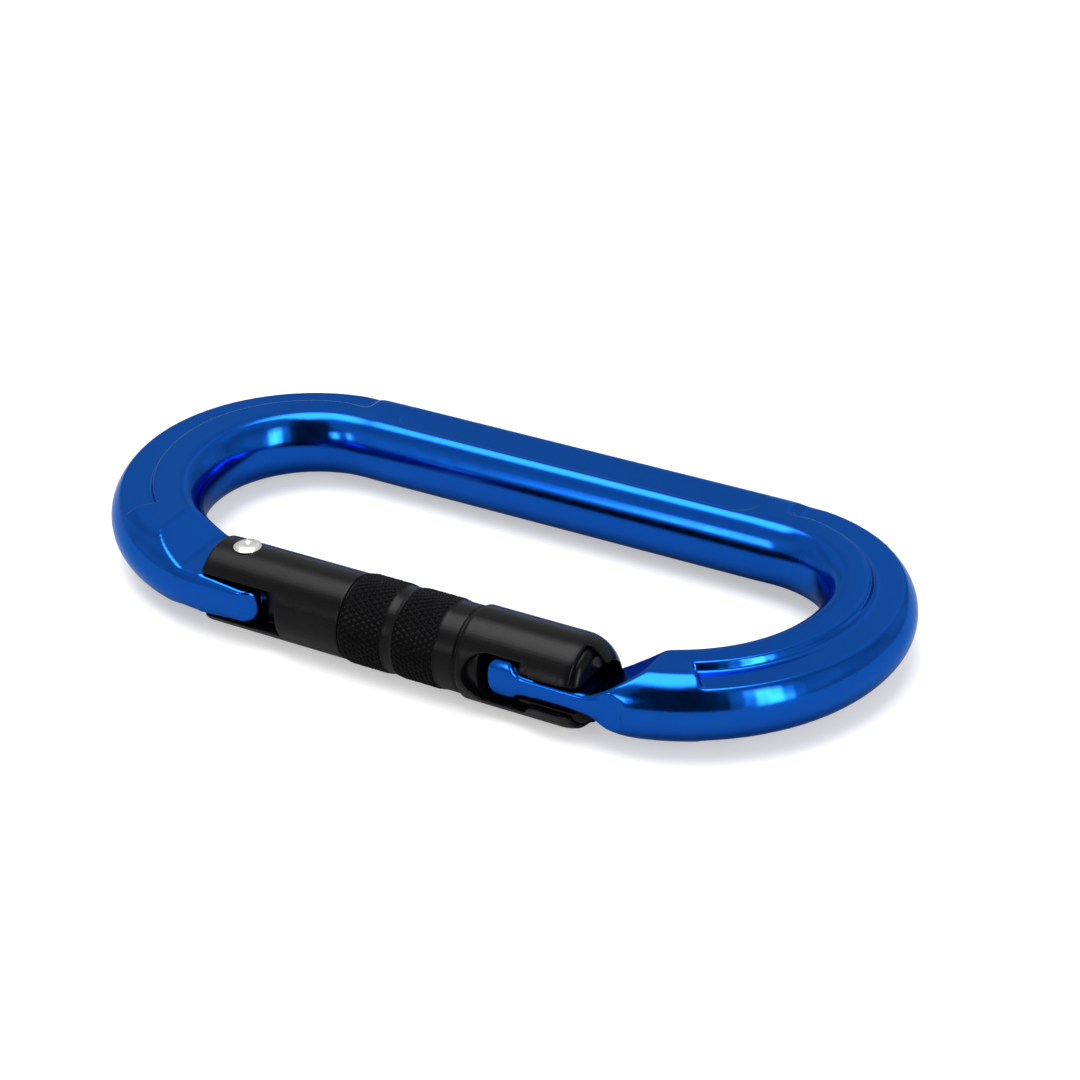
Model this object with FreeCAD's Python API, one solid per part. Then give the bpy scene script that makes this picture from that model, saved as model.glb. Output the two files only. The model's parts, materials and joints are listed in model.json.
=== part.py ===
import FreeCAD, Part
import math
import os

V = FreeCAD.Vector

# An oval twist-lock carabiner, lying flat. All sizes are in millimetres.
# +X runs along the oval from the hinge end to the nose end, +Z is up, and the spine is on the +Y side.
# It is drawn with y = 0 through the centres of the bends, then moved so that the origin is the middle of
# the whole carabiner.

# ---- frame: an oval bar, flat on top and bottom ----
HALF_HEIGHT = 4.7            # half the bar's thickness along Z
SPINE_OUT = 23.85            # outer side of the spine, along +Y
SPINE_IN = 11.95             # inner side of the spine
STUB_OUT = 29.1              # outer side of the two stubs that hold the gate, along -Y
STUB_IN = 18.2               # inner side of the stubs
END_OUT = 56.1               # outermost point of each end, along X
END_IN_HINGE = 43.1          # inner side of the hinge end, along -X
END_IN_NOSE = 44.0           # inner side of the nose end, along +X
OUTER_ROUND = 3.75           # width of the rounded strip beyond the flat, outer side
OUTER_CORNER = 1.1           # radius where that strip leaves the flat
INNER_ROUND = 3.3            # the same for the inner side, which leaves the flat more gently
INNER_CORNER = 2.25
LOOP_WIDTH = 7.4             # how far each half of the bar reaches into the other

# stepped recess on the outer half of each bend, top and bottom
RECESS_FLOOR = 3.6           # height of its floor
RECESS_WALL = 5.5            # from the bar's outer side to the foot of the wall
RECESS_SLOPE = 0.45          # width of the sloping wall
RECESS_START = 0.5           # degrees past the spine where it starts
RECESS_END = {-1: 50.0, 1: 61.0}    # degrees past the tip where its wall ends, hinge end and nose end
RECESS_SLANT = {-1: 0.0, 1: 14.0}   # how far the end wall leans back from the bar's radius, in degrees

# shallow flat milled on the spine
SPINE_FLAT_DEPTH = 0.14
SPINE_FLAT_ENDS = (-26.7, 28.0)
SPINE_FLAT_IN = 14.9
SPINE_FLAT_CORNER = 3.0

# ---- gate barrel ----
GATE_Y = -23.5               # the gate's axis
BARREL_R = 5.57
BARREL_START = -27.8         # the cut end of the ears
BARREL_SHOULDER = -6.75      # where the full diameter ends, under the sleeve's edge
BUSH_SEAT_R = 4.5
BUSH_SEAT_END = -2.6
NOSE_R = 5.05                # the slimmer half that carries the sleeve
WAIST_R = 3.9                # room for the torsion spring
WAIST_START = -0.1
WAIST_END = 8.9
BARREL_END = 27.0
BARREL_END_ROUND = 1.3

# ---- hinge ----
PIVOT_X = -23.6
PIVOT_Y = -23.3
RIVET_R = 1.5
RIVET_HEAD_R = 1.82
RIVET_HEAD_SEAT = 5.45       # height of the small flats under the heads, which stand proud of the barrel
RIVET_EDGE = 0.16            # thickness of the head at its rim
RIVET_DOME = 0.53
RIVET_DIMPLE_R = 0.55        # dimple left by riveting
RIVET_DIMPLE = 0.22          # its depth below the crown
RIVET_CLEARANCE = 0.05
TANG_HALF = 2.75             # half the tang's thickness
EAR_SLOT_HALF = 3.0          # half the slot between the ears
EAR_SLOT_END = -19.35
TANG_START = -31.2           # where the sloping facet meets the tang
TANG_ROOT = -28.3            # where the tang's own outline takes over from the bar's
FACET_TOP = -37.3            # where the facet meets the top face
FINGER_TIP = -19.55
FINGER_BACK = GATE_Y - 2.6   # inner side of the stop finger
FINGER_ROOT_HALF = 2.85      # half its height where it leaves the bar, and at its tip
FINGER_TIP_HALF = 2.2
FINGER_SWEEP_R = 4.2         # its outer face curves inwards to the tip with this radius
FINGER_SWEEP = 55.0          # through this many degrees
FINGER_CORNER = 1.3          # radius of the tip's corners seen from the side
WINDOW_END = -16.1
WINDOW_FLOOR = GATE_Y - 2.5
CAM_R = 3.28                 # round lobe that pushes the plunger back at an even rate
CAM_DX = -0.48               # the lobe's centre from the pivot
CAM_DY = 1.8

# ---- spring and plunger in the gate ----
BORE_R = 2.3
BORE_END = -2.2
PLUNGER_R = 2.24
PLUNGER_GAP = 0.04           # between the plunger's face and the lobe at rest
PLUNGER_HEAD = 3.2
PLUNGER_STEM_R = 1.25
PLUNGER_STEM = 6.0
GATE_SPRING_R = 1.88         # mean radius of the coil
GATE_SPRING_WIRE = 0.25      # radius of the wire
GATE_SPRING_TURNS = 11

# ---- nose ----
NOSE_FRONT = GATE_Y - 4.63   # outer face of the neck
NOSE_BACK = GATE_Y + 2.05    # inner face of the neck
NECK_HALF = 1.4
HEAD_HALF = 2.95
HEAD_START = 14.3
HEAD_END = 18.4
NOSE_FACET_START = 28.2
NOSE_FACET_TOP = 34.35
NOSE_CROWN_R = 5.0           # the head's outer face follows this radius about the gate's axis

# ---- slot in the gate's nose end ----
SLOT_HALF = 1.75
POCKET_HALF = 3.25
POCKET_START = 13.2
POCKET_END = 18.8
SLOT_FLOOR = GATE_Y + 2.6

# ---- sleeve ----
SLEEVE_START = -6.65
SLEEVE_BORE_R = 5.1
KNURL_R = 5.75
KNURL_BANDS = ((-6.4, -0.33), (1.3, 7.2))
BAND_R = 5.6                 # groove between the knurled bands and plain band beside the hood
V_GROOVE = (9.9, 10.6)
V_GROOVE_R = 5.32
HOOD_R = 5.98
DOME_START = 24.2
DOME_LENGTH = 5.5
BORE_STRAIGHT_END = 26.1     # where the sleeve's bore starts to close in under the dome
MOUTH_WALL = 0.75            # wall at the mouth, along X
MOUTH_R = 3.5                # opening in the end of the dome
RELIEF_START = 26.0          # the front half of the dome is cut away from here
RELIEF_HALF_ANGLE = 88.0
KEYHOLE_START = 11.5
KEYHOLE_END = 21.4
KEYHOLE_HALF = 3.45
KEYHOLE_SLOT_HALF = 2.15
TWIST = 60.0                 # degrees from unlocked to locked

# ---- small parts under the sleeve ----
BUSH_R = (4.54, 5.06)
BUSH_SPAN = (-6.3, -2.7)
RING_X = -1.4
RING_MEAN_R = 5.08
RING_WIRE = 0.32
RING_GAP = 40.0              # degrees left open in the ring
PIN_X = 11.7
PIN_R = 0.6
PIN_TIP_R = 5.45
PIN_ROOT_R = 2.0
TURN_GROOVE_R = 5.52
SLEEVE_SPRING_R = 4.5
SLEEVE_SPRING_WIRE = 0.25
SLEEVE_SPRING_TURNS = 6
SLEEVE_SPRING_SPAN = (0.4, 8.3)
SLEEVE_SPRING_LEG = -0.7     # where the leg in the gate ends

CENTRE_SHIFT = (STUB_OUT - SPINE_OUT) / 2
UP = V(0, 0, 1)
ALONG = V(1, 0, 0)


# ---- helpers ----
def wire_of(start, *steps, to_point):
    """Closed wire from a start and steps: (a, b) is a line to, (ma, mb, a, b) an arc through and to."""
    here = start
    edges = []
    for step in steps + (start,):
        end = step[-2:]
        if len(step) == 4:
            edges.append(Part.Arc(to_point(*here), to_point(*step[:2]), to_point(*end)).toShape())
        elif (to_point(*here) - to_point(*end)).Length > 1e-7:
            edges.append(Part.makeLine(to_point(*here), to_point(*end)))
        here = end
    return Part.Wire(edges)


def plan_prism(z0, z1, start, *steps):
    """A solid with an outline in plan (x, y), from z0 up to z1."""
    wire = wire_of(start, *steps, to_point=lambda x, y: V(x, y, z0))
    return Part.Face(wire).extrude(V(0, 0, z1 - z0))


def side_prism(y0, y1, start, *steps):
    """A solid with an outline seen from the side (x, z), from y0 to y1."""
    wire = wire_of(start, *steps, to_point=lambda x, z: V(x, y0, z))
    return Part.Face(wire).extrude(V(0, y1 - y0, 0))


def turned(start, *steps):
    """A solid of revolution about the gate's axis from an outline (x, radius)."""
    wire = wire_of(start, *steps, to_point=lambda x, r: V(x, GATE_Y + r, 0))
    return Part.Face(wire).revolve(V(0, GATE_Y, 0), ALONG, 360)


def rod(radius, x0, x1):
    """A cylinder on the gate's axis."""
    return Part.makeCylinder(radius, x1 - x0, V(x0, GATE_Y, 0), ALONG)


def box(x0, x1, y0, y1, z0, z1):
    return Part.makeBox(x1 - x0, y1 - y0, z1 - z0, V(x0, y0, z0))


def mirrored_pair(shape):
    """The shape and its mirror image in the mid-plane."""
    return [shape, shape.mirror(V(0, 0, 0), UP)]


def coil(mean_r, wire_r, x0, x1, turns):
    """A helical spring about the gate's axis, which starts and ends on the spine side."""
    helix = Part.makeHelix((x1 - x0) / turns, x1 - x0, mean_r)
    section = Part.Wire([Part.Circle(V(mean_r, 0, 0), V(0, 1, 0), wire_r).toShape()])
    spring = Part.Wire(helix.Edges).makePipeShell([section], True, True)
    spring.rotate(V(0, 0, 0), V(0, 1, 0), 90)
    spring.rotate(V(0, 0, 0), ALONG, 90)
    spring.translate(V(x0, GATE_Y, 0))
    return spring


# ---- frame ----
def rounded_side(extreme, width, corner, sign):
    """Steps (r, z) for one rounded side of the bar, from the bottom flat round to the top flat.

    A tight corner arc leaves each flat and a wide arc joins the two through the extreme radius.
    """
    wide = (width**2 + HALF_HEIGHT**2 - 2 * HALF_HEIGHT * corner) / (2 * (width - corner))
    corner_u, corner_z = 0.0, HALF_HEIGHT - corner
    wide_u = width - wide
    reach = math.atan2(corner_z, corner_u - wide_u)
    join = (wide_u + wide * math.cos(reach), wide * math.sin(reach))
    half_turn = (reach + math.pi / 2) / 2
    mid = (corner * math.cos(half_turn), corner_z + corner * math.sin(half_turn))

    def place(u, z):
        return (extreme + sign * (u - width), z)

    return (
        place(mid[0], -mid[1]) + place(join[0], -join[1]),
        place(width, 0) + place(join[0], join[1]),
        place(mid[0], mid[1]) + place(0, HALF_HEIGHT),
    )


def half_bar(extreme, width, corner, sign):
    """Outline (r, z) of one half of the bar; sign is +1 for the outer half and -1 for the inner."""
    flat = extreme - sign * width
    inner_end = extreme - sign * LOOP_WIDTH
    steps = rounded_side(extreme, width, corner, sign)
    return ((inner_end, -HALF_HEIGHT), (flat, -HALF_HEIGHT)) + steps + ((inner_end, HALF_HEIGHT),)


def quarter(outline, centre_x, side, y_sign, degrees=90.0, skip=0.0):
    """An outline (r, z) turned about (centre_x, 0) from the tip towards y_sign, on the given side."""
    wire = wire_of(*outline, to_point=lambda r, z: V(centre_x + side * r, 0, z))
    turn = side * y_sign
    face = Part.Face(wire)
    face.rotate(V(centre_x, 0, 0), UP, turn * skip)
    return face.revolve(V(centre_x, 0, 0), UP, turn * (degrees - skip))


def loop(spine_r, stub_r, hinge_tip, nose_tip, width, corner, sign):
    """One half of the bar, inner or outer, from the hinge stub round the spine to the nose stub."""
    spine = half_bar(spine_r, width, corner, sign)
    stub = half_bar(stub_r, width, corner, sign)
    x0 = -(hinge_tip - spine_r)
    x1 = nose_tip - spine_r
    wire = wire_of(*spine, to_point=lambda r, z: V(x0, r, z))
    parts = [
        Part.Face(wire).extrude(V(x1 - x0, 0, 0)),
        quarter(spine, x0, -1, 1),
        quarter(spine, x1, 1, 1),
        quarter(stub, -(hinge_tip - stub_r), -1, -1),
        quarter(stub, nose_tip - stub_r, 1, -1),
    ]
    return parts[0].multiFuse(parts[1:])


def recess_stop(side):
    """Block of metal left standing where the recess ends on a stub."""
    centre = V(side * (END_OUT - STUB_OUT), 0, 0)
    foot = centre + V(side * (STUB_OUT - RECESS_WALL), 0, 0)
    inner_reach, outer_reach = 2.0, 10.0
    near = min(foot.x - side * inner_reach, foot.x + side * outer_reach)
    block = Part.makeBox(inner_reach + outer_reach, 8, 4, V(near, -8, RECESS_FLOOR - 1))
    block.rotate(foot, UP, side * RECESS_SLANT[side])
    block.rotate(centre, UP, -side * RECESS_END[side])
    return block


def bend_recess(side):
    """Cutter for the stepped recess round one bend, above the mid-plane."""
    clear = 1.0
    result = []
    for radius, y_sign, end in ((SPINE_OUT, 1, 90 - RECESS_START), (STUB_OUT, -1, RECESS_END[side] + 10)):
        foot = radius - RECESS_WALL
        outline = (
            (foot, RECESS_FLOOR),
            (radius + clear, RECESS_FLOOR),
            (radius + clear, HALF_HEIGHT + clear),
            (foot - RECESS_SLOPE, HALF_HEIGHT + clear),
            (foot - RECESS_SLOPE, HALF_HEIGHT),
        )
        result.append(quarter(outline, side * (END_OUT - radius), side, y_sign, end))
    result[1] = result[1].cut(recess_stop(side))
    return result


def spine_flat():
    """Cutter for the shallow milled flat on the spine, with rounded inner corners."""
    x0, x1 = SPINE_FLAT_ENDS
    y0, y1 = SPINE_FLAT_IN, SPINE_OUT + 1
    c = SPINE_FLAT_CORNER
    d = c * (1 - math.sqrt(0.5))
    return plan_prism(
        HALF_HEIGHT - SPINE_FLAT_DEPTH, HALF_HEIGHT + 1,
        (x0, y1), (x0, y0 + c), (x0 + d, y0 + d, x0 + c, y0),
        (x1 - c, y0), (x1 - d, y0 + d, x1, y0 + c), (x1, y1),
    )


def tang():
    """The tang between the gate's ears, with the round lobe that pushes the plunger."""
    lobe_x = PIVOT_X + CAM_DX
    lobe_y = PIVOT_Y + CAM_DY
    face_x = lobe_x + CAM_R
    s = CAM_R * math.sqrt(0.5)
    fillet = 0.9
    f = fillet * (1 - math.sqrt(0.5))
    behind = FINGER_BACK - 0.5
    return plan_prism(
        -TANG_HALF, TANG_HALF,
        (TANG_ROOT, lobe_y + CAM_R), (lobe_x, lobe_y + CAM_R),
        (lobe_x + s, lobe_y + s, face_x, lobe_y),
        (face_x, FINGER_BACK + fillet), (face_x + f, FINGER_BACK + f, face_x + fillet, FINGER_BACK),
        (face_x + fillet, behind), (TANG_ROOT, behind),
    )


def stop_finger():
    """The finger that fills the gate's window: tapered, swept inwards and rounded at its tip."""
    front = GATE_Y - BARREL_R
    sweep = math.radians(FINGER_SWEEP)
    half = sweep / 2
    r = FINGER_SWEEP_R
    bend_x = FINGER_TIP - r * math.sin(sweep)
    plan = plan_prism(
        -5, 5,
        (TANG_ROOT, FINGER_BACK), (FINGER_TIP - 0.4, FINGER_BACK), (FINGER_TIP, FINGER_BACK - 0.4),
        (FINGER_TIP, front + r * (1 - math.cos(sweep))),
        (bend_x + r * math.sin(half), front + r * (1 - math.cos(half)), bend_x, front), (TANG_ROOT, front),
    )
    h0, h1, c = FINGER_ROOT_HALF, FINGER_TIP_HALF, FINGER_CORNER
    d = c * (1 - math.sqrt(0.5))
    side = side_prism(
        front - 1, FINGER_BACK + 1,
        (TANG_ROOT, -h0), (FINGER_TIP - c, -h1), (FINGER_TIP - d, -h1 + d, FINGER_TIP, -h1 + c),
        (FINGER_TIP, h1 - c), (FINGER_TIP - d, h1 - d, FINGER_TIP - c, h1), (TANG_ROOT, h0),
    )
    return plan.common(side)


def hinge_relief():
    """Cutter above the tang: the sloping facet, then everything above the tang."""
    clear = HALF_HEIGHT + 1
    slope = (HALF_HEIGHT - TANG_HALF) / (TANG_START - FACET_TOP)
    return side_prism(
        -40, -10,
        (TANG_START, TANG_HALF), (FACET_TOP - 1 / slope, clear), (-10, clear), (-10, TANG_HALF),
    )


def nose_relief():
    """Cutter above the neck: the sloping facet, then everything above the neck."""
    clear = HALF_HEIGHT + 1
    slope = (HALF_HEIGHT - NECK_HALF) / (NOSE_FACET_TOP - NOSE_FACET_START)
    return side_prism(
        -40, -10,
        (NOSE_FACET_START, NECK_HALF), (10, NECK_HALF), (10, clear),
        (NOSE_FACET_TOP + 1 / slope, clear),
    )


def nose_trims():
    """Cutters that draw the bar in to the neck, in front and behind."""
    front = box(10, 33, NOSE_FRONT - 5, NOSE_FRONT, -8, 8)
    back = plan_prism(
        -8, 8,
        (10, NOSE_BACK), (28.5, NOSE_BACK), (32.4, NOSE_BACK + 1.5, 36.2, NOSE_BACK + 5.7),
        (36.2, -8), (10, -8),
    )
    return [front, back]


def nose_plate():
    """The T-shaped head and its neck, crowned to turn freely inside the sleeve."""
    shoulder = HEAD_END
    plate = side_prism(
        NOSE_FRONT - 1, NOSE_BACK,
        (NOSE_FACET_START + 2, NECK_HALF), (shoulder + 0.9, NECK_HALF),
        (shoulder + 0.26, 1.66, shoulder, 2.2), (shoulder - 0.45, 2.75, shoulder - 1.5, HEAD_HALF),
        (HEAD_START + 1.6, HEAD_HALF), (HEAD_START + 0.47, HEAD_HALF - 0.47, HEAD_START, HEAD_HALF - 1.6),
        (HEAD_START, 1.6 - HEAD_HALF), (HEAD_START + 0.47, 0.47 - HEAD_HALF, HEAD_START + 1.6, -HEAD_HALF),
        (shoulder - 1.5, -HEAD_HALF), (shoulder - 0.45, -2.75, shoulder, -2.2),
        (shoulder + 0.26, -1.66, shoulder + 0.9, -NECK_HALF), (NOSE_FACET_START + 2, -NECK_HALF),
    )
    return plate.common(rod(NOSE_CROWN_R, HEAD_START - 1, NOSE_FACET_START + 3))


def frame():
    outer = loop(SPINE_OUT, STUB_OUT, END_OUT, END_OUT, OUTER_ROUND, OUTER_CORNER, 1)
    inner = loop(SPINE_IN, STUB_IN, END_IN_HINGE, END_IN_NOSE, INNER_ROUND, INNER_CORNER, -1)
    bar = outer.fuse(inner)
    cutters = mirrored_pair(hinge_relief()) + mirrored_pair(nose_relief()) + nose_trims()
    cutters += mirrored_pair(spine_flat())
    for side in (-1, 1):
        for piece in bend_recess(side):
            cutters += mirrored_pair(piece)
    bar = bar.cut(cutters)
    hinge = tang().fuse(stop_finger())
    hinge = hinge.common(rod(BARREL_R, TANG_ROOT - 1, FINGER_TIP + 1))
    body = bar.multiFuse([hinge, nose_plate()])
    pivot_hole = Part.makeCylinder(RIVET_R + RIVET_CLEARANCE, 12, V(PIVOT_X, PIVOT_Y, -6))
    return body.cut(pivot_hole).removeSplitter()


# ---- gate ----
def rivet_seats():
    """Cutters for the flats under the two rivet heads."""
    seat = Part.makeCylinder(RIVET_HEAD_R + 0.12, 3, V(PIVOT_X, PIVOT_Y, RIVET_HEAD_SEAT))
    return mirrored_pair(seat)


def gate_barrel():
    ease = 0.35
    end = BARREL_END
    c = BARREL_END_ROUND
    d = c * (1 - math.sqrt(0.5))
    body = turned(
        (BARREL_START, 0), (BARREL_START, BARREL_R - ease), (BARREL_START + ease, BARREL_R),
        (BARREL_SHOULDER, BARREL_R), (BARREL_SHOULDER, BUSH_SEAT_R), (BUSH_SEAT_END, BUSH_SEAT_R),
        (BUSH_SEAT_END, NOSE_R), (WAIST_START, NOSE_R), (WAIST_START, WAIST_R), (WAIST_END, WAIST_R),
        (WAIST_END, NOSE_R), (end - c, NOSE_R), (end - d, NOSE_R - d, end, NOSE_R - c), (end, 0),
    )
    ears = box(BARREL_START - 1, EAR_SLOT_END, -32, -10, -EAR_SLOT_HALF, EAR_SLOT_HALF)
    window = box(BARREL_START - 1, WINDOW_END, -32, WINDOW_FLOOR, -EAR_SLOT_HALF, EAR_SLOT_HALF)
    bore = rod(BORE_R, EAR_SLOT_END - 1, BORE_END)
    neck_slot = box(POCKET_START + 1, end + 1, -32, SLOT_FLOOR, -SLOT_HALF, SLOT_HALF)
    pocket = box(POCKET_START, POCKET_END, -32, SLOT_FLOOR, -POCKET_HALF, POCKET_HALF)
    rivet_hole = Part.makeCylinder(RIVET_R, 14, V(PIVOT_X, PIVOT_Y, -7))
    ring_groove = Part.makeTorus(RING_MEAN_R, RING_WIRE + 0.03, V(RING_X, GATE_Y, 0), ALONG)
    pin_hole = radial_rod(PIN_R, PIN_X, PIN_ROOT_R, NOSE_R + 1)
    leg_start = V(SLEEVE_SPRING_LEG - 0.2, GATE_Y + SLEEVE_SPRING_R, 0)
    spring_hole = Part.makeCylinder(SLEEVE_SPRING_WIRE + 0.05, 1.0, leg_start, ALONG)
    cutters = [ears, window, bore, neck_slot, pocket, rivet_hole, ring_groove, pin_hole, spring_hole]
    return body.cut(cutters + rivet_seats())


def hinge_rivet():
    shaft = Part.makeCylinder(RIVET_R, 2 * RIVET_HEAD_SEAT, V(PIVOT_X, PIVOT_Y, -RIVET_HEAD_SEAT))
    rim = RIVET_HEAD_SEAT + RIVET_EDGE
    crown = RIVET_HEAD_SEAT + RIVET_DOME
    wire = wire_of(
        (0, RIVET_HEAD_SEAT), (RIVET_HEAD_R, RIVET_HEAD_SEAT), (RIVET_HEAD_R, rim),
        (RIVET_HEAD_R * 0.72, crown - 0.1, RIVET_DIMPLE_R, crown),
        (RIVET_DIMPLE_R * 0.4, crown - RIVET_DIMPLE), (0, crown - RIVET_DIMPLE),
        to_point=lambda r, z: V(PIVOT_X + r, PIVOT_Y, z),
    )
    head = Part.Face(wire).revolve(V(PIVOT_X, PIVOT_Y, 0), UP, 360)
    return shaft.multiFuse(mirrored_pair(head)).removeSplitter()


def plunger_face():
    """The plunger's front face at rest, just clear of the tang's lobe."""
    return PIVOT_X + CAM_DX + CAM_R + PLUNGER_GAP


def spring_plunger():
    face = plunger_face()
    ease = 0.3
    step = face + PLUNGER_HEAD
    return turned(
        (face, 0), (face, PLUNGER_R - ease), (face + ease, PLUNGER_R), (step, PLUNGER_R),
        (step, PLUNGER_STEM_R), (step + PLUNGER_STEM, PLUNGER_STEM_R), (step + PLUNGER_STEM, 0),
    )


def gate_spring():
    start = plunger_face() + PLUNGER_HEAD + GATE_SPRING_WIRE + 0.05
    end = BORE_END - GATE_SPRING_WIRE - 0.05
    return coil(GATE_SPRING_R, GATE_SPRING_WIRE, start, end, GATE_SPRING_TURNS)


# ---- sleeve ----
def radial_rod(radius, x, r0, r1):
    """A rod that points straight at the spine from the gate's axis, between two radii."""
    return Part.makeCylinder(radius, r1 - r0, V(x, GATE_Y + r0, 0), V(0, 1, 0))


def dome_x(radius):
    """Where the dome reaches a radius."""
    return DOME_START + DOME_LENGTH * math.sqrt(1 - (radius / HOOD_R) ** 2)


def sleeve_blank():
    """The turned sleeve: knurled bands, grooves, hood and dome outside, stepped bore inside."""
    ease = 0.18
    (k0, k1), (k2, k3) = KNURL_BANDS
    v0, v1 = V_GROOVE
    mid_r = 5.0
    mouth_x = dome_x(MOUTH_R)
    return turned(
        (SLEEVE_START, SLEEVE_BORE_R), (SLEEVE_START, BAND_R - ease), (k0, KNURL_R), (k1, KNURL_R),
        (k1 + ease, BAND_R), (k2 - ease, BAND_R), (k2, KNURL_R), (k3, KNURL_R), (k3 + ease, BAND_R),
        (v0, BAND_R), ((v0 + v1) / 2, V_GROOVE_R), (v1, HOOD_R - 0.25),
        (v1 + 0.07, HOOD_R - 0.07, v1 + 0.25, HOOD_R),
        (DOME_START, HOOD_R), (dome_x(mid_r), mid_r, mouth_x, MOUTH_R), (mouth_x - MOUTH_WALL, MOUTH_R),
        (mouth_x - MOUTH_WALL - 0.6, 4.4, BORE_STRAIGHT_END, SLEEVE_BORE_R),
    )


def keyhole():
    """Cutter for the keyhole window: a wide round-ended part and a slot to the open end."""
    e = KEYHOLE_HALF
    s = KEYHOLE_SLOT_HALF
    x0, x1 = KEYHOLE_START, KEYHOLE_END
    c = 0.7071
    neck_x = x1 - 1.3
    mid_z = (e + s) / 2
    return side_prism(
        -34, GATE_Y,
        (x0, 0), (x0 + e * (1 - c), e * c, x0 + e, e), (neck_x - 1.0, e),
        (neck_x - 0.3, e - 0.25, neck_x, mid_z), (neck_x + 0.3, s + 0.25, x1, s),
        (DOME_START + 9, s), (DOME_START + 9, -s), (x1, -s), (neck_x + 0.3, -s - 0.25, neck_x, -mid_z),
        (neck_x - 0.3, 0.25 - e, neck_x - 1.0, -e), (x0 + e, -e), (x0 + e * (1 - c), -e * c, x0, 0),
    )


def dome_relief():
    """Cutter for the front half of the dome, a sector either side of the slot."""
    half = math.radians(RELIEF_HALF_ANGLE)
    reach = 12.0
    y = GATE_Y - reach * math.cos(half)
    z = reach * math.sin(half)
    points = [V(RELIEF_START, GATE_Y, 0), V(RELIEF_START, y, z), V(RELIEF_START, GATE_Y - reach, z),
              V(RELIEF_START, GATE_Y - reach, -z), V(RELIEF_START, y, -z), V(RELIEF_START, GATE_Y, 0)]
    return Part.Face(Part.makePolygon(points)).extrude(V(10, 0, 0))


def turn_groove():
    """Cutter for the groove the guide pin runs in as the sleeve turns."""
    half = PIN_R + 0.06
    wire = wire_of(
        (PIN_X - half, SLEEVE_BORE_R - 0.3), (PIN_X + half, SLEEVE_BORE_R - 0.3),
        (PIN_X + half, TURN_GROOVE_R), (PIN_X - half, TURN_GROOVE_R),
        to_point=lambda x, r: V(x, GATE_Y + r, 0),
    )
    margin = math.degrees(math.asin(half / SLEEVE_BORE_R)) + 1
    face = Part.Face(wire)
    face.rotate(V(0, GATE_Y, 0), ALONG, margin)
    return face.revolve(V(0, GATE_Y, 0), ALONG, -TWIST - 2 * margin)


def lock_sleeve():
    ring_groove = Part.makeTorus(RING_MEAN_R, RING_WIRE + 0.06, V(RING_X, GATE_Y, 0), ALONG)
    x1 = SLEEVE_SPRING_SPAN[1]
    spring_hole = radial_rod(SLEEVE_SPRING_WIRE + 0.08, x1, SLEEVE_BORE_R - 0.5, SLEEVE_BORE_R + 0.35)
    return sleeve_blank().cut([keyhole(), dome_relief(), turn_groove(), ring_groove, spring_hole])


def sleeve_spring():
    """The torsion spring, with one leg along the gate and one leg out into the sleeve."""
    x0, x1 = SLEEVE_SPRING_SPAN
    body = coil(SLEEVE_SPRING_R, SLEEVE_SPRING_WIRE, x0, x1, SLEEVE_SPRING_TURNS)
    leg_r = SLEEVE_SPRING_WIRE - 0.02
    leg_start = V(SLEEVE_SPRING_LEG, GATE_Y + SLEEVE_SPRING_R, 0)
    gate_leg = Part.makeCylinder(leg_r, x0 - SLEEVE_SPRING_LEG + 0.05, leg_start, ALONG)
    sleeve_leg = radial_rod(leg_r, x1, SLEEVE_SPRING_R - 0.05, SLEEVE_BORE_R + 0.3)
    return body.multiFuse([gate_leg, sleeve_leg])


def snap_ring():
    ring = Part.makeTorus(RING_MEAN_R, RING_WIRE, V(RING_X, GATE_Y, 0), ALONG)
    half = math.radians(RING_GAP / 2)
    reach = 8.0
    gap = Part.makePolygon([
        V(RING_X - 1, GATE_Y, 0), V(RING_X - 1, GATE_Y - reach * math.cos(half), reach * math.sin(half)),
        V(RING_X - 1, GATE_Y - reach * math.cos(half), -reach * math.sin(half)), V(RING_X - 1, GATE_Y, 0),
    ])
    return ring.cut(Part.Face(gap).extrude(V(2, 0, 0)))


def bearing_ring():
    r0, r1 = BUSH_R
    x0, x1 = BUSH_SPAN
    return rod(r1, x0, x1).cut(rod(r0, x0 - 1, x1 + 1))


def guide_pin():
    return radial_rod(PIN_R, PIN_X, PIN_ROOT_R, PIN_TIP_R)


NODES = {
    "frame": frame,
    "hinge_rivet": hinge_rivet,
    "gate_barrel": gate_barrel,
    "spring_plunger": spring_plunger,
    "gate_spring": gate_spring,
    "lock_sleeve": lock_sleeve,
    "sleeve_spring": sleeve_spring,
    "guide_pin": guide_pin,
    "snap_ring": snap_ring,
    "bearing_ring": bearing_ring,
}


def main():
    os.makedirs("parts", exist_ok=True)
    for name, build in NODES.items():
        shape = build()
        shape.translate(V(0, CENTRE_SHIFT, 0))
        shape.exportStep("parts/" + name + ".step")
        box_of = shape.BoundBox
        print(name, "solids", len(shape.Solids), "valid", shape.isValid(), "volume", round(shape.Volume, 2),
              "x", round(box_of.XMin, 2), round(box_of.XMax, 2),
              "y", round(box_of.YMin, 2), round(box_of.YMax, 2),
              "z", round(box_of.ZMin, 2), round(box_of.ZMax, 2))


main()
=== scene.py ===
import json
import math

import bpy
import numpy as np
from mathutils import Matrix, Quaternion, Vector


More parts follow.
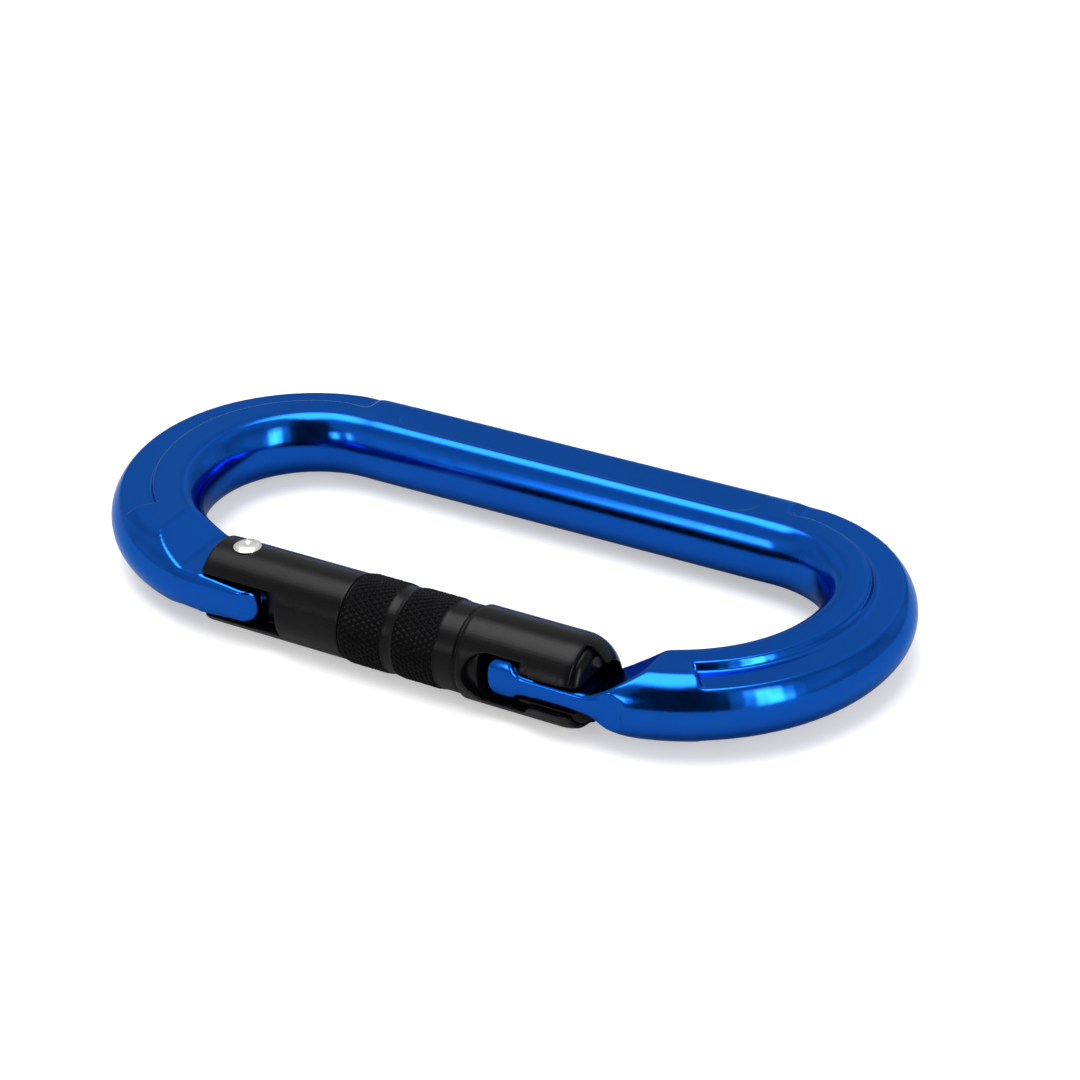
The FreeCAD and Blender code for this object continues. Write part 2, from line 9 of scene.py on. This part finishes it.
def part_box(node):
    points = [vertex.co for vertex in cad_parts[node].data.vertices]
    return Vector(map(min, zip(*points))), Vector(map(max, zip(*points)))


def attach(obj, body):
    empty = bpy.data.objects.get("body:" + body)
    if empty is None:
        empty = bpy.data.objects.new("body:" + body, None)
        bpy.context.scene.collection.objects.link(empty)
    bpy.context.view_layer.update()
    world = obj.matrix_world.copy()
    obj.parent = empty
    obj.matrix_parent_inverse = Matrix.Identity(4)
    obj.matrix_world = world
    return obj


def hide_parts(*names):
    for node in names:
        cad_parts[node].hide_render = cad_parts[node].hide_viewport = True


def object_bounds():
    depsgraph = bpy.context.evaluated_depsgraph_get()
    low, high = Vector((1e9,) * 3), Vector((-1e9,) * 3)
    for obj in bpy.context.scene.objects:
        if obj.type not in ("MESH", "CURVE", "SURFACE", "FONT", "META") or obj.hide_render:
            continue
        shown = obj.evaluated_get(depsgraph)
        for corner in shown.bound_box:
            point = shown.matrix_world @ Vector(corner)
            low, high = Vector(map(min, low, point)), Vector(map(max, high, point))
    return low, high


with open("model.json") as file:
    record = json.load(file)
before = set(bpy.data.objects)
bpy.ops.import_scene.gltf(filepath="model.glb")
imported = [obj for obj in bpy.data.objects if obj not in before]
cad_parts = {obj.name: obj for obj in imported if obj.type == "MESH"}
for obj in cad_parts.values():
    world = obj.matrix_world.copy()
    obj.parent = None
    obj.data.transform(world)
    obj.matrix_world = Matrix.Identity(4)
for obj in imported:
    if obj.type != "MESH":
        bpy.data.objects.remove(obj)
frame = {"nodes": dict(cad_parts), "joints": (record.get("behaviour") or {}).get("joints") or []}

# A locking carabiner: a blue forged oval bar and a black gate with a knurled twist sleeve.
# Lengths are in metres unless a comment says otherwise, and MM turns millimetres into metres.
CAD_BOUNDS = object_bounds()
MM = 0.001

# Where the parts are, read from the CAD frame
AXIS_Y = next(j for j in frame["joints"] if j["name"] == "sleeve_twist")["pos_m"][1]
SLEEVE_START_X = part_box("lock_sleeve")[0].x

# How finely each CAD solid is remeshed, and how many rounds of smoothing ease its edges
BAR_VOXEL = 0.20 * MM
BAR_ROUNDS = 9
BAR_EXTRA_ROUNDS = 60            # more rounds where forged_ends says so
GATE_VOXEL = 0.13 * MM           # the gate and the sleeve
GATE_ROUNDS = 3
RIVET_VOXEL = 0.05 * MM
RIVET_ROUNDS = 4
SMOOTH_FACTOR = 0.5
REGION_FLOOR = 0.01              # vertices below this weight aren't smoothed further

# Where the bar is rounded more than elsewhere, in mm: (fade from, fade to)
GATE_SIDE_Y = (10.0, 13.0)       # measured from the middle towards the gate
NECK_RISE_X = (12.0, 13.0)
NECK_EASE_X = (27.0, 30.0)       # beyond the neck only NECK_REST of the rounding is left
NECK_REST = 0.2
NECK_END_X = (34.0, 38.0)
HINGE_RISE_X = (16.0, 17.0)      # measured from the middle towards the hinge
HINGE_END_X = (38.0, 42.0)
HINGE_WEIGHT = 0.22
RECESS_START_X = 32.2            # where the recesses of both bends meet the spine
RECESS_REACH = (1.0, 3.5)
RECESS_Y = (14.0, 16.0)

# Knurled bands on the sleeve: start and end measured from the sleeve's hinge end
KNURL_BANDS = ((0.25 * MM, 6.3 * MM), (7.95 * MM, 13.85 * MM))
KNURL_TOP = 5.80 * MM
KNURL_DEPTH = 0.26 * MM
KNURL_COUNT = 44                 # ridges round the sleeve in each direction
KNURL_ANGLE = 32.0               # degrees between a ridge and the axis
KNURL_STEP = 0.075 * MM
KNURL_STEEPNESS = 1.35           # above 1 the diamonds get flat tops
KNURL_RUN_OUT = 0.28 * MM        # the pattern fades out over this length at each end
KNURL_SKIRT = 0.25 * MM          # how far each end is turned in below the grooves
SUNK_R = 5.45 * MM               # the sleeve's radius under the bands

# Camera: a 100 mm lens on a 36 mm frame
CAMERA_AT = Vector((0.17845, -0.28385, 0.19231))
CAMERA_TARGET = Vector((0.00328, 0.00627, 0.0))
CAMERA_ROLL = -1.67              # degrees
LENS = 100.0
SENSOR_WIDTH = 36.0
CLIP_START = 0.01

# The room the metal reflects: levels of light, 1 being paper white.
# Wall panels are (from, to, blur) in degrees round from +X, (from, to, blur) in degrees up, and a level.
ROOM_LOW = 0.56
ROOM_HIGH = 0.70
ROOM_DRIFT = 0.30                # how much the walls vary from place to place
ROOM_PATCHES = 2.2               # how many patches of drift there are across the room
WALL_PANELS = (
    ((-94.0, -42.0, 3.0), (-30.0, 70.0, 4.0), 0.05),        # dark wall behind the camera
    ((-116.5, -112.0, 1.5), (11.0, 26.0, 3.0), 9.0),        # left window, first pane
    ((-100.0, -92.0, 1.5), (11.0, 26.0, 3.0), 9.0),         # left window, second pane
    ((-29.0, -16.0, 5.0), (2.0, 42.0, 10.0), 12.0),         # right window
)
CEILING_X = (-0.64, 0.16, 0.08)  # ceiling light: from, to, blur, as a share of its height
CEILING_Y = (-0.38, 0.40, 0.20)
CEILING_LEVEL = 7.0
HORIZON = 0.05                   # directions that rise less than this are taken to rise this much
FLOOR_HALF = 3.0

# Colours are linear red, green, blue
BLUE_DEEP = (0.0016, 0.078, 0.43, 1)
BLUE_BRIGHT = (0.0020, 0.086, 0.47, 1)
BLUE_EDGE_TINT = (0.50, 0.70, 1.0, 1)
BLACK_DEEP = (0.0018, 0.0019, 0.0023, 1)
BLACK_WORN = (0.0034, 0.0035, 0.0040, 1)
STAINLESS = (0.86, 0.85, 0.81, 1)
WIRE = (0.42, 0.41, 0.40, 1)
NATURAL_WHITE = (0.80, 0.79, 0.75, 1)
WHITE = (1, 1, 1, 1)

# The floor: how pale it is and how much it glows, in the metal's reflections and to the camera
FLOOR_TONE = (0.50, 0.62)
FLOOR_GLOW = (0.0, 0.42)

NOISE_SPAN = (0.3, 0.7)          # nearly all of a noise texture's values lie in here


# ---------- node helpers ----------
def new_material(name):
    """A material, its node tree and its Principled shader."""
    material = bpy.data.materials.new(name)
    material.use_nodes = True
    tree = material.node_tree
    return material, tree, tree.nodes["Principled BSDF"]


def add(tree, kind, settings=(), inputs=()):
    """Adds a node, sets its properties, and sets or links its inputs."""
    node = tree.nodes.new(kind)
    for key, value in dict(settings).items():
        setattr(node, key, value)
    for key, value in dict(inputs).items():
        if isinstance(value, bpy.types.NodeSocket):
            tree.links.new(value, node.inputs[key])
        else:
            node.inputs[key].default_value = value
    return node


def calc(tree, operation, *values):
    """The result of one step of arithmetic."""
    node = add(tree, "ShaderNodeMath", {"operation": operation}, dict(enumerate(values)))
    return node.outputs["Value"]


def ramp(tree, source, low, high, start=0.0, end=1.0):
    """Maps a value from the range start to end to the range low to high."""
    node = add(tree, "ShaderNodeMapRange", inputs={
        "Value": source, "From Min": start, "From Max": end, "To Min": low, "To Max": high,
    })
    return node.outputs["Result"]


def noise(tree, scale, detail=3.0, stretch=(1, 1, 1)):
    """Noise in object space, in cycles per metre."""
    where = add(tree, "ShaderNodeTexCoord").outputs["Object"]
    mapped = add(tree, "ShaderNodeMapping", inputs={"Vector": where, "Scale": stretch})
    node = add(tree, "ShaderNodeTexNoise", inputs={
        "Vector": mapped.outputs["Vector"], "Scale": scale, "Detail": detail,
    })
    return node.outputs["Fac"]


def uneven(tree, scale, detail, low, high):
    """A value that drifts from low to high over the surface."""
    return ramp(tree, noise(tree, scale, detail), low, high, *NOISE_SPAN)


def bump(tree, height, distance, strength=1.0, normal=None):
    """A bump node's normal output."""
    inputs = {"Height": height, "Distance": distance, "Strength": strength}
    if normal is not None:
        inputs["Normal"] = normal
    return add(tree, "ShaderNodeBump", inputs=inputs).outputs["Normal"]


def two_tone(tree, factor, first, second):
    """A mix of two colours, which are inputs 6 and 7 of the Mix node and come out at output 2."""
    inputs = {"Factor": factor, 6: first, 7: second}
    return add(tree, "ShaderNodeMix", {"data_type": "RGBA"}, inputs).outputs[2]


def grey(tree, tone):
    """A colour with the same red, green and blue."""
    inputs = {"Red": tone, "Green": tone, "Blue": tone}
    return add(tree, "ShaderNodeCombineColor", inputs=inputs).outputs["Color"]


# ---------- materials ----------
def anodised_blue():
    """Glossy blue anodised aluminium: a dyed metal with a fine grain and the faint waviness of a forging."""
    material, tree, shader = new_material("anodised_blue")
    colour = two_tone(tree, noise(tree, scale=60.0), BLUE_DEEP, BLUE_BRIGHT)
    tree.links.new(colour, shader.inputs["Base Color"])
    shader.inputs["Metallic"].default_value = 1.0
    shader.inputs["Specular Tint"].default_value = BLUE_EDGE_TINT
    sheen = uneven(tree, scale=700.0, detail=3.0, low=0.13, high=0.18)
    tree.links.new(sheen, shader.inputs["Roughness"])
    wave = bump(tree, noise(tree, scale=190.0, detail=2.0), distance=0.020 * MM, strength=0.35)
    fine = noise(tree, scale=5000.0, detail=2.0)
    grain = bump(tree, fine, distance=0.002 * MM, strength=0.2, normal=wave)
    tree.links.new(grain, shader.inputs["Normal"])
    shader.inputs["Coat Weight"].default_value = 0.10
    shader.inputs["Coat Roughness"].default_value = 0.10
    return material


def anodised_black(name, rough, shine, turned):
    """Satin black anodised aluminium; turned adds faint turning marks round the gate's axis."""
    material, tree, shader = new_material(name)
    colour = two_tone(tree, noise(tree, scale=300.0, detail=4.0), BLACK_DEEP, BLACK_WORN)
    tree.links.new(colour, shader.inputs["Base Color"])
    shader.inputs["IOR"].default_value = 1.45
    shader.inputs["Specular IOR Level"].default_value = shine
    sheen = uneven(tree, scale=900.0, detail=4.0, low=rough[0], high=rough[1])
    tree.links.new(sheen, shader.inputs["Roughness"])
    fine = noise(tree, scale=4000.0, detail=2.0)
    normal = bump(tree, fine, distance=0.003 * MM, strength=0.3)
    if turned:
        marks = noise(tree, scale=900.0, detail=2.0, stretch=(6.0, 0.15, 0.15))
        normal = bump(tree, marks, distance=0.003 * MM, strength=0.4, normal=normal)
    tree.links.new(normal, shader.inputs["Normal"])
    return material


def bright_steel():
    """Polished stainless steel with faint wear."""
    material, tree, shader = new_material("bright_steel")
    shader.inputs["Base Color"].default_value = STAINLESS
    shader.inputs["Metallic"].default_value = 1.0
    sheen = uneven(tree, scale=1500.0, detail=4.0, low=0.16, high=0.26)
    tree.links.new(sheen, shader.inputs["Roughness"])
    wear = bump(tree, noise(tree, scale=2500.0), distance=0.006 * MM, strength=0.3)
    tree.links.new(wear, shader.inputs["Normal"])
    return material


def spring_steel():
    """Drawn spring wire, duller than the rivet."""
    material, tree, shader = new_material("spring_steel")
    shader.inputs["Base Color"].default_value = WIRE
    shader.inputs["Metallic"].default_value = 1.0
    sheen = uneven(tree, scale=1800.0, detail=3.0, low=0.28, high=0.4)
    tree.links.new(sheen, shader.inputs["Roughness"])
    return material


def acetal():
    """Natural white acetal plastic."""
    material, tree, shader = new_material("acetal")
    shader.inputs["Base Color"].default_value = NATURAL_WHITE
    sheen = uneven(tree, scale=700.0, detail=3.0, low=0.42, high=0.55)
    tree.links.new(sheen, shader.inputs["Roughness"])
    return material


def paper_white():
    """The studio floor: white to the camera, and a little darker in the metal's reflections of it."""
    material, tree, shader = new_material("paper_white")
    seen = add(tree, "ShaderNodeLightPath").outputs["Is Camera Ray"]
    grain = uneven(tree, scale=14.0, detail=3.0, low=-0.01, high=0.01)
    tone = calc(tree, "ADD", ramp(tree, seen, *FLOOR_TONE), grain)
    tree.links.new(grey(tree, tone), shader.inputs["Base Color"])
    shader.inputs["Roughness"].default_value = 0.9
    shader.inputs["Specular IOR Level"].default_value = 0.1
    shader.inputs["Emission Color"].default_value = WHITE
    tree.links.new(ramp(tree, seen, *FLOOR_GLOW), shader.inputs["Emission Strength"])
    return material


# ---------- meshes ----------
def link(name, mesh, material):
    """A new object with a mesh and one material."""
    obj = bpy.data.objects.new(name, mesh)
    bpy.context.scene.collection.objects.link(obj)
    obj.data.materials.clear()
    obj.data.materials.append(material)
    return obj


def coordinates(mesh):
    """The mesh's vertices as an array."""
    values = np.empty(len(mesh.vertices) * 3)
    mesh.vertices.foreach_get("co", values)
    return values.reshape(-1, 3)


def set_coordinates(mesh, values):
    """Moves the mesh's vertices to the rows of an array."""
    mesh.vertices.foreach_set("co", values.ravel())
    mesh.update()


def smooth(obj, rounds):
    """Adds a smoothing modifier."""
    modifier = obj.modifiers.new("smooth", "SMOOTH")
    modifier.factor = SMOOTH_FACTOR
    modifier.iterations = rounds
    return modifier


def softened(node, name, material, voxel, rounds):
    """A fine copy of a CAD node with its edges eased, as tumbling and anodising leave them."""
    obj = link(name, frame["nodes"][node].data.copy(), material)
    remesh = obj.modifiers.new("remesh", "REMESH")
    remesh.mode = "VOXEL"
    remesh.voxel_size = voxel
    remesh.use_smooth_shade = True
    smooth(obj, rounds)
    apply_modifiers(obj, material)
    return obj


def soften_region(obj, material, weight, rounds):
    """Smooths an object further where weight, a function of its vertices, is above 0."""
    group = obj.vertex_groups.new(name="region")
    values = weight(coordinates(obj.data))
    for index in np.nonzero(values > REGION_FLOOR)[0]:
        group.add([int(index)], float(values[index]), "REPLACE")
    smooth(obj, rounds).vertex_group = group.name
    apply_modifiers(obj, material)


def apply_modifiers(obj, material):
    """Bakes the object's modifiers into its mesh and gives that mesh the material."""
    graph = bpy.context.evaluated_depsgraph_get()
    baked = bpy.data.meshes.new_from_object(obj.evaluated_get(graph))
    obj.modifiers.clear()
    obj.vertex_groups.clear()
    obj.data = baked
    obj.data.materials.clear()
    obj.data.materials.append(material)


def step(values, low, high):
    """A smooth step from 0 at low to 1 at high."""
    t = np.clip((values - low) / (high - low), 0, 1)
    return t * t * (3 - 2 * t)


def ring_mesh(name, points):
    """A quad mesh from an array of rows of points, each row closed into a ring."""
    rows, columns = points.shape[:2]
    faces = []
    for i in range(rows - 1):
        for j in range(columns):
            k = (j + 1) % columns
            faces.append((i * columns + j, (i + 1) * columns + j, (i + 1) * columns + k, i * columns + k))
    mesh = bpy.data.meshes.new(name)
    mesh.from_pydata(points.reshape(-1, 3).tolist(), [], faces)
    mesh.shade_smooth()
    return mesh


def knurl_band(name, start, end, material):
    """A ring of diamond knurling: two sets of crossing V-grooves cut into a cylinder."""
    length = end - start
    girth = 2 * math.pi * KNURL_TOP
    rows = int(length / KNURL_STEP) + 1
    columns = int(girth / KNURL_STEP)
    along = np.linspace(0, length, rows)[:, None]
    around = np.linspace(0, 2 * math.pi, columns, endpoint=False)[None, :]
    lean = along * math.tan(math.radians(KNURL_ANGLE)) / (girth / KNURL_COUNT)
    turn = around * KNURL_COUNT / (2 * math.pi)
    left = np.abs((turn + lean) % 1.0 - 0.5) * 2
    right = np.abs((turn - lean) % 1.0 - 0.5) * 2
    height = np.minimum(np.minimum(left, right) * KNURL_STEEPNESS, 1.0)
    height = height * np.clip(np.minimum(along, length - along) / KNURL_RUN_OUT, 0, 1)
    radius = KNURL_TOP - KNURL_DEPTH * (1 - height)
    x = np.broadcast_to(SLEEVE_START_X + start + along, radius.shape)
    points = np.stack([x, AXIS_Y + radius * np.cos(around), radius * np.sin(around)], axis=2)
    skirt_r = KNURL_TOP - KNURL_DEPTH - KNURL_SKIRT
    skirts = []
    for row in (points[:1], points[-1:]):
        skirt = row.copy()
        skirt[..., 1] = AXIS_Y + skirt_r * np.cos(around)
        skirt[..., 2] = skirt_r * np.sin(around)
        skirts.append(skirt)
    points = np.concatenate([skirts[0], points, skirts[1]], axis=0)
    return link(name, ring_mesh(name, points), material)


def sink_under_knurl(obj):
    """Moves the sleeve's surface in where the knurled bands cover it."""
    points = coordinates(obj.data)
    from_axis = points[:, 1:] - np.array([AXIS_Y, 0])
    radius = np.linalg.norm(from_axis, axis=1)
    covered = np.zeros(len(points), bool)
    for start, end in KNURL_BANDS:
        covered |= (points[:, 0] > SLEEVE_START_X + start) & (points[:, 0] < SLEEVE_START_X + end)
    scale = np.where(covered & (radius > SUNK_R), SUNK_R / radius, 1.0)
    points[:, 1] = AXIS_Y + from_axis[:, 0] * scale
    points[:, 2] = from_axis[:, 1] * scale
    set_coordinates(obj.data, points)


# ---------- the pieces ----------
def register(obj, body, replaced=None):
    """Rides a piece on its body, and hides the CAD node that it replaces."""
    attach(obj, body)
    if replaced:
        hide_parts(replaced)


def forged_ends(points):
    """How much more each place on the bar is rounded than the rest, from 0 to 1.

    The neck and its head are rounded most, the facets beside the hinge and the nose a little,
    and the recesses fade out where they meet the spine.
    """
    x, y = points.T[:2] / MM
    neck_ease = 1 - (1 - NECK_REST) * step(x, *NECK_EASE_X)
    neck = step(x, *NECK_RISE_X) * neck_ease * (1 - step(x, *NECK_END_X))
    hinge = HINGE_WEIGHT * step(-x, *HINGE_RISE_X) * (1 - step(-x, *HINGE_END_X))
    from_recess_start = np.abs(np.abs(x) - RECESS_START_X)
    recess_start = step(y, *RECESS_Y) * (1 - step(from_recess_start, *RECESS_REACH))
    return np.maximum(step(-y, *GATE_SIDE_Y) * np.maximum(neck, hinge), recess_start)


def build_frame(material):
    """The blue bar."""
    obj = softened("frame", "frame_bar", material, BAR_VOXEL, BAR_ROUNDS)
    soften_region(obj, material, forged_ends, BAR_EXTRA_ROUNDS)
    register(obj, "frame", "frame")


def build_gate(material):
    """The black gate under the sleeve."""
    obj = softened("gate_barrel", "gate_tube", material, GATE_VOXEL, GATE_ROUNDS)
    register(obj, "gate", "gate_barrel")


def build_sleeve(body_material, knurl_material):
    """The sleeve's body, sunk under the knurled bands, and the two bands."""
    obj = softened("lock_sleeve", "sleeve_body", body_material, GATE_VOXEL, GATE_ROUNDS)
    sink_under_knurl(obj)
    register(obj, "sleeve", "lock_sleeve")
    for index, (start, end) in enumerate(KNURL_BANDS, 1):
        band = knurl_band("sleeve_knurl_%d" % index, start, end, knurl_material)
        register(band, "sleeve")


def build_rivet(material):
    """The hinge rivet with its domed heads."""
    obj = softened("hinge_rivet", "rivet", material, RIVET_VOXEL, RIVET_ROUNDS)
    register(obj, "gate", "hinge_rivet")


def dress_small_parts(steel):
    """Finishes for the pieces that are shown as they are in the CAD."""
    wire = spring_steel()
    for node, finish in {
        "spring_plunger": steel, "guide_pin": steel,
        "gate_spring": wire, "sleeve_spring": wire, "snap_ring": wire,
        "bearing_ring": acetal(),
    }.items():
        obj = frame["nodes"][node]
        obj.data.materials.clear()
        obj.data.materials.append(finish)


# ---------- stage ----------
def build_floor(material):
    """A flat floor at the level of the lowest point of the CAD."""
    low = CAD_BOUNDS[0][2]
    half = FLOOR_HALF
    corners = [(-half, -half, low), (half, -half, low), (half, half, low), (-half, half, low)]
    mesh = bpy.data.meshes.new("floor")
    mesh.from_pydata(corners, [], [(0, 1, 2, 3)])
    link("floor", mesh, material)


def between(tree, value, low, high, blur):
    """1 where low < value < high and 0 outside, over soft edges."""
    edges = []
    for start, end in ((low - blur, low + blur), (high + blur, high - blur)):
        edge = add(tree, "ShaderNodeMapRange", {"interpolation_type": "SMOOTHSTEP"}, {
            "Value": value, "From Min": start, "From Max": end, "To Min": 0.0, "To Max": 1.0,
        })
        edges.append(edge.outputs["Result"])
    return calc(tree, "MINIMUM", *edges)


def panel(tree, across, up, level, under):
    """Replaces the tone under it with a level inside a soft-edged rectangle."""
    mask = calc(tree, "MULTIPLY", across, up)
    return add(tree, "ShaderNodeMix", inputs={"Factor": mask, 2: under, 3: level}).outputs[0]


def add_walls(tree, turn, rise, tone):
    """The dark wall and the windows, placed by degrees round and degrees up."""
    for turn_span, rise_span, level in WALL_PANELS:
        across = between(tree, turn, *turn_span)
        up = between(tree, rise, *rise_span)
        tone = panel(tree, across, up, level, tone)
    return tone


def add_ceiling(tree, part, tone):
    """The ceiling light, placed by where a direction meets a ceiling one unit up."""
    height = calc(tree, "MAXIMUM", part["Z"], HORIZON)
    across = between(tree, calc(tree, "DIVIDE", part["X"], height), *CEILING_X)
    up = between(tree, calc(tree, "DIVIDE", part["Y"], height), *CEILING_Y)
    return panel(tree, across, up, CEILING_LEVEL, tone)


def build_world():
    """A pale room: a ceiling light, two windows, a dark wall behind the camera."""
    world = bpy.data.worlds.new("studio")
    bpy.context.scene.world = world
    world.use_nodes = True
    tree = world.node_tree
    direction = add(tree, "ShaderNodeTexCoord").outputs["Generated"]
    part = add(tree, "ShaderNodeSeparateXYZ", inputs={"Vector": direction}).outputs
    turn = calc(tree, "DEGREES", calc(tree, "ARCTAN2", part["Y"], part["X"]))
    rise = calc(tree, "DEGREES", calc(tree, "ARCSINE", part["Z"]))
    room = ramp(tree, rise, ROOM_LOW, ROOM_HIGH, 0.0, 90.0)
    patches = add(tree, "ShaderNodeTexNoise", inputs={
        "Vector": direction, "Scale": ROOM_PATCHES, "Detail": 1.0,
    })
    drift = ramp(tree, patches.outputs["Fac"], 1 - ROOM_DRIFT, 1 + ROOM_DRIFT, *NOISE_SPAN)
    tone = calc(tree, "MULTIPLY", room, drift)
    tone = add_walls(tree, turn, rise, tone)
    tone = add_ceiling(tree, part, tone)
    background = tree.nodes["Background"]
    tree.links.new(grey(tree, tone), background.inputs["Color"])
    background.inputs["Strength"].default_value = 1.0


def build_camera():
    """The camera, at the photo's angle."""
    data = bpy.data.cameras.new("camera")
    data.lens = LENS
    data.sensor_width = SENSOR_WIDTH
    data.clip_start = CLIP_START
    obj = bpy.data.objects.new("camera", data)
    bpy.context.scene.collection.objects.link(obj)
    aim = (CAMERA_TARGET - CAMERA_AT).to_track_quat("-Z", "Y")
    obj.rotation_mode = "QUATERNION"
    obj.rotation_quaternion = aim @ Quaternion((0, 0, 1), math.radians(CAMERA_ROLL))
    obj.location = CAMERA_AT
    bpy.context.scene.camera = obj


def main():
    """Builds the pieces and the stage."""
    steel = bright_steel()
    black = anodised_black("anodised_black", rough=(0.21, 0.28), shine=0.14, turned=True)
    knurl_black = anodised_black("knurled_black", rough=(0.20, 0.30), shine=0.05, turned=False)
    build_frame(anodised_blue())
    build_gate(black)
    build_sleeve(black, knurl_black)
    build_rivet(steel)
    dress_small_parts(steel)
    build_floor(paper_white())
    build_world()
    build_camera()
    bpy.context.scene.view_settings.view_transform = "Standard"


main()
